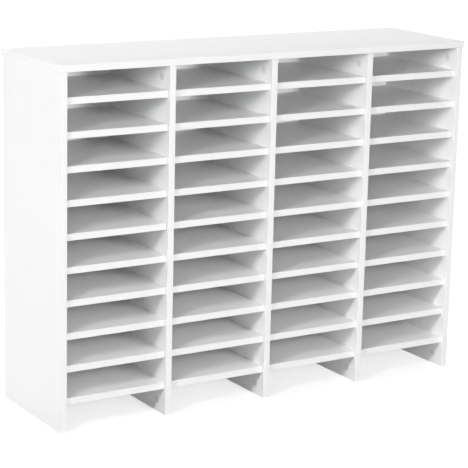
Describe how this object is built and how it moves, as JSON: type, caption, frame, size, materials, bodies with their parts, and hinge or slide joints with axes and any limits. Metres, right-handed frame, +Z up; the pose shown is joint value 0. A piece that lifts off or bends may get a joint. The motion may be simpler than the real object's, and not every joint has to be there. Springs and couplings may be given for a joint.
{
  "type": "mail sorter",
  "caption": "Free-standing mail sorter of white board with open compartments in columns between full-height uprights, loose shelves on pins, and a top board.",
  "frame": {"origin": "on the floor, midway between the side panels and midway between the uprights' front and rear edges", "axes": "+X across the front to the right as seen from the front, +Y from the front to the back, +Z up"},
  "size_m": [1.116, 0.3, 0.84],
  "materials": {
    "white_board": "white melamine face, satin",
    "white_back_board": "white melamine face, satin",
    "white_plastic": "moulded white plastic",
    "zinc_casting": "cast zinc, dull",
    "plated_steel": "zinc-plated steel, bright",
    "beech": "turned beech, raw"
  },
  "bodies": {
    "carcass": {"top_board": "white_board", "left_side_panel": "white_board", "divider_panel_1": "white_board", "divider_panel_2": "white_board", "divider_panel_3": "white_board", "right_side_panel": "white_board", "bottom_shelf_1": "white_board", "bottom_shelf_2": "white_board", "bottom_shelf_3": "white_board", "bottom_shelf_4": "white_board", "back_panel": "white_back_board", "shelf_pins": "plated_steel", "top_cam_locks": "zinc_casting", "top_cam_bolts": "plated_steel", "top_dowels": "beech", "top_cam_caps": "white_plastic", "foot_cam_caps": "white_plastic", "foot_cam_locks": "zinc_casting", "bottom_cam_locks": "zinc_casting", "bottom_side_bolts": "plated_steel", "bottom_divider_bolts": "plated_steel", "bottom_dowels": "beech", "back_panel_screws": "plated_steel"},
    "shelf_1_1": {"shelf_1_1": "white_board"},
    "shelf_1_2": {"shelf_1_2": "white_board"},
    "shelf_1_3": {"shelf_1_3": "white_board"},
    "shelf_1_4": {"shelf_1_4": "white_board"},
    "shelf_1_5": {"shelf_1_5": "white_board"},
    "shelf_1_6": {"shelf_1_6": "white_board"},
    "shelf_1_7": {"shelf_1_7": "white_board"},
    "shelf_1_8": {"shelf_1_8": "white_board"},
    "shelf_1_9": {"shelf_1_9": "white_board"},
    "shelf_2_1": {"shelf_2_1": "white_board"},
    "shelf_2_2": {"shelf_2_2": "white_board"},
    "shelf_2_3": {"shelf_2_3": "white_board"},
    "shelf_2_4": {"shelf_2_4": "white_board"},
    "shelf_2_5": {"shelf_2_5": "white_board"},
    "shelf_2_6": {"shelf_2_6": "white_board"},
    "shelf_2_7": {"shelf_2_7": "white_board"},
    "shelf_2_8": {"shelf_2_8": "white_board"},
    "shelf_2_9": {"shelf_2_9": "white_board"},
    "shelf_3_1": {"shelf_3_1": "white_board"},
    "shelf_3_2": {"shelf_3_2": "white_board"},
    "shelf_3_3": {"shelf_3_3": "white_board"},
    "shelf_3_4": {"shelf_3_4": "white_board"},
    "shelf_3_5": {"shelf_3_5": "white_board"},
    "shelf_3_6": {"shelf_3_6": "white_board"},
    "shelf_3_7": {"shelf_3_7": "white_board"},
    "shelf_3_8": {"shelf_3_8": "white_board"},
    "shelf_3_9": {"shelf_3_9": "white_board"},
    "shelf_4_1": {"shelf_4_1": "white_board"},
    "shelf_4_2": {"shelf_4_2": "white_board"},
    "shelf_4_3": {"shelf_4_3": "white_board"},
    "shelf_4_4": {"shelf_4_4": "white_board"},
    "shelf_4_5": {"shelf_4_5": "white_board"},
    "shelf_4_6": {"shelf_4_6": "white_board"},
    "shelf_4_7": {"shelf_4_7": "white_board"},
    "shelf_4_8": {"shelf_4_8": "white_board"},
    "shelf_4_9": {"shelf_4_9": "white_board"}
  },
  "joints": [
    {"name": "shelf_1_1_slide", "type": "slide", "parent": "carcass", "child": "shelf_1_1", "axis": [0, -1, 0], "range_m": [0, 0.3]},
    {"name": "shelf_1_2_slide", "type": "slide", "parent": "carcass", "child": "shelf_1_2", "axis": [0, -1, 0], "range_m": [0, 0.3]},
    {"name": "shelf_1_3_slide", "type": "slide", "parent": "carcass", "child": "shelf_1_3", "axis": [0, -1, 0], "range_m": [0, 0.3]},
    {"name": "shelf_1_4_slide", "type": "slide", "parent": "carcass", "child": "shelf_1_4", "axis": [0, -1, 0], "range_m": [0, 0.3]},
    {"name": "shelf_1_5_slide", "type": "slide", "parent": "carcass", "child": "shelf_1_5", "axis": [0, -1, 0], "range_m": [0, 0.3]},
    {"name": "shelf_1_6_slide", "type": "slide", "parent": "carcass", "child": "shelf_1_6", "axis": [0, -1, 0], "range_m": [0, 0.3]},
    {"name": "shelf_1_7_slide", "type": "slide", "parent": "carcass", "child": "shelf_1_7", "axis": [0, -1, 0], "range_m": [0, 0.3]},
    {"name": "shelf_1_8_slide", "type": "slide", "parent": "carcass", "child": "shelf_1_8", "axis": [0, -1, 0], "range_m": [0, 0.3]},
    {"name": "shelf_1_9_slide", "type": "slide", "parent": "carcass", "child": "shelf_1_9", "axis": [0, -1, 0], "range_m": [0, 0.3]},
    {"name": "shelf_2_1_slide", "type": "slide", "parent": "carcass", "child": "shelf_2_1", "axis": [0, -1, 0], "range_m": [0, 0.3]},
    {"name": "shelf_2_2_slide", "type": "slide", "parent": "carcass", "child": "shelf_2_2", "axis": [0, -1, 0], "range_m": [0, 0.3]},
    {"name": "shelf_2_3_slide", "type": "slide", "parent": "carcass", "child": "shelf_2_3", "axis": [0, -1, 0], "range_m": [0, 0.3]},
    {"name": "shelf_2_4_slide", "type": "slide", "parent": "carcass", "child": "shelf_2_4", "axis": [0, -1, 0], "range_m": [0, 0.3]},
    {"name": "shelf_2_5_slide", "type": "slide", "parent": "carcass", "child": "shelf_2_5", "axis": [0, -1, 0], "range_m": [0, 0.3]},
    {"name": "shelf_2_6_slide", "type": "slide", "parent": "carcass", "child": "shelf_2_6", "axis": [0, -1, 0], "range_m": [0, 0.3]},
    {"name": "shelf_2_7_slide", "type": "slide", "parent": "carcass", "child": "shelf_2_7", "axis": [0, -1, 0], "range_m": [0, 0.3]},
    {"name": "shelf_2_8_slide", "type": "slide", "parent": "carcass", "child": "shelf_2_8", "axis": [0, -1, 0], "range_m": [0, 0.3]},
    {"name": "shelf_2_9_slide", "type": "slide", "parent": "carcass", "child": "shelf_2_9", "axis": [0, -1, 0], "range_m": [0, 0.3]},
    {"name": "shelf_3_1_slide", "type": "slide", "parent": "carcass", "child": "shelf_3_1", "axis": [0, -1, 0], "range_m": [0, 0.3]},
    {"name": "shelf_3_2_slide", "type": "slide", "parent": "carcass", "child": "shelf_3_2", "axis": [0, -1, 0], "range_m": [0, 0.3]},
    {"name": "shelf_3_3_slide", "type": "slide", "parent": "carcass", "child": "shelf_3_3", "axis": [0, -1, 0], "range_m": [0, 0.3]},
    {"name": "shelf_3_4_slide", "type": "slide", "parent": "carcass", "child": "shelf_3_4", "axis": [0, -1, 0], "range_m": [0, 0.3]},
    {"name": "shelf_3_5_slide", "type": "slide", "parent": "carcass", "child": "shelf_3_5", "axis": [0, -1, 0], "range_m": [0, 0.3]},
    {"name": "shelf_3_6_slide", "type": "slide", "parent": "carcass", "child": "shelf_3_6", "axis": [0, -1, 0], "range_m": [0, 0.3]},
    {"name": "shelf_3_7_slide", "type": "slide", "parent": "carcass", "child": "shelf_3_7", "axis": [0, -1, 0], "range_m": [0, 0.3]},
    {"name": "shelf_3_8_slide", "type": "slide", "parent": "carcass", "child": "shelf_3_8", "axis": [0, -1, 0], "range_m": [0, 0.3]},
    {"name": "shelf_3_9_slide", "type": "slide", "parent": "carcass", "child": "shelf_3_9", "axis": [0, -1, 0], "range_m": [0, 0.3]},
    {"name": "shelf_4_1_slide", "type": "slide", "parent": "carcass", "child": "shelf_4_1", "axis": [0, -1, 0], "range_m": [0, 0.3]},
    {"name": "shelf_4_2_slide", "type": "slide", "parent": "carcass", "child": "shelf_4_2", "axis": [0, -1, 0], "range_m": [0, 0.3]},
    {"name": "shelf_4_3_slide", "type": "slide", "parent": "carcass", "child": "shelf_4_3", "axis": [0, -1, 0], "range_m": [0, 0.3]},
    {"name": "shelf_4_4_slide", "type": "slide", "parent": "carcass", "child": "shelf_4_4", "axis": [0, -1, 0], "range_m": [0, 0.3]},
    {"name": "shelf_4_5_slide", "type": "slide", "parent": "carcass", "child": "shelf_4_5", "axis": [0, -1, 0], "range_m": [0, 0.3]},
    {"name": "shelf_4_6_slide", "type": "slide", "parent": "carcass", "child": "shelf_4_6", "axis": [0, -1, 0], "range_m": [0, 0.3]},
    {"name": "shelf_4_7_slide", "type": "slide", "parent": "carcass", "child": "shelf_4_7", "axis": [0, -1, 0], "range_m": [0, 0.3]},
    {"name": "shelf_4_8_slide", "type": "slide", "parent": "carcass", "child": "shelf_4_8", "axis": [0, -1, 0], "range_m": [0, 0.3]},
    {"name": "shelf_4_9_slide", "type": "slide", "parent": "carcass", "child": "shelf_4_9", "axis": [0, -1, 0], "range_m": [0, 0.3]}
  ]
}
